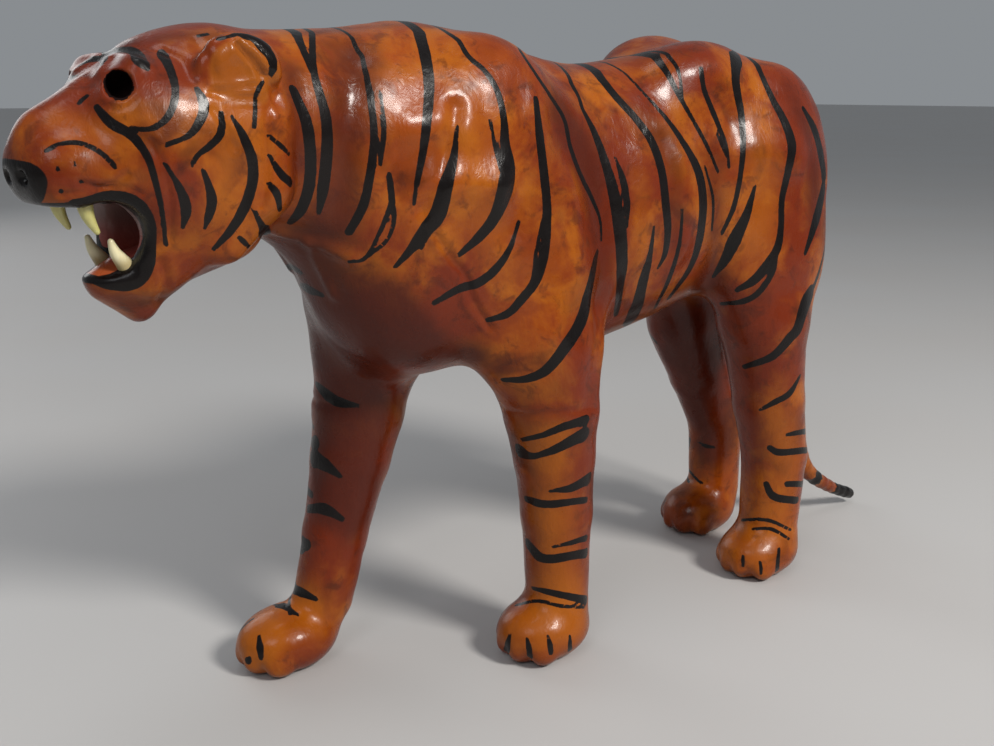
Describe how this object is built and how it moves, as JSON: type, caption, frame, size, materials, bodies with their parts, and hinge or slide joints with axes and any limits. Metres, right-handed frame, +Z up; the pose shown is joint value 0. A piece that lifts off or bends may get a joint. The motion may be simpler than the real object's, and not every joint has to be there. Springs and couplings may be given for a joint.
{
  "type": "leather tiger figure",
  "caption": "Standing tiger ornament covered in burnished leather, with a snarling open mouth, inserted canine teeth and a low swept tail.",
  "frame": {"origin": "on the floor, under the middle of the figure's length and width", "axes": "+X from the nose towards the tail, +Y towards the figure's right flank, +Z up"},
  "size_m": [0.4382, 0.0978, 0.2518],
  "materials": {
    "leather": "glossy lacquered, hand-painted black stripes",
    "tooth": "semi-gloss ivory"
  },
  "bodies": {
    "root": {"leather_body": "leather", "upper_left_canine": "tooth", "upper_right_canine": "tooth", "lower_left_canine": "tooth", "lower_right_canine": "tooth"}
  },
  "joints": []
}
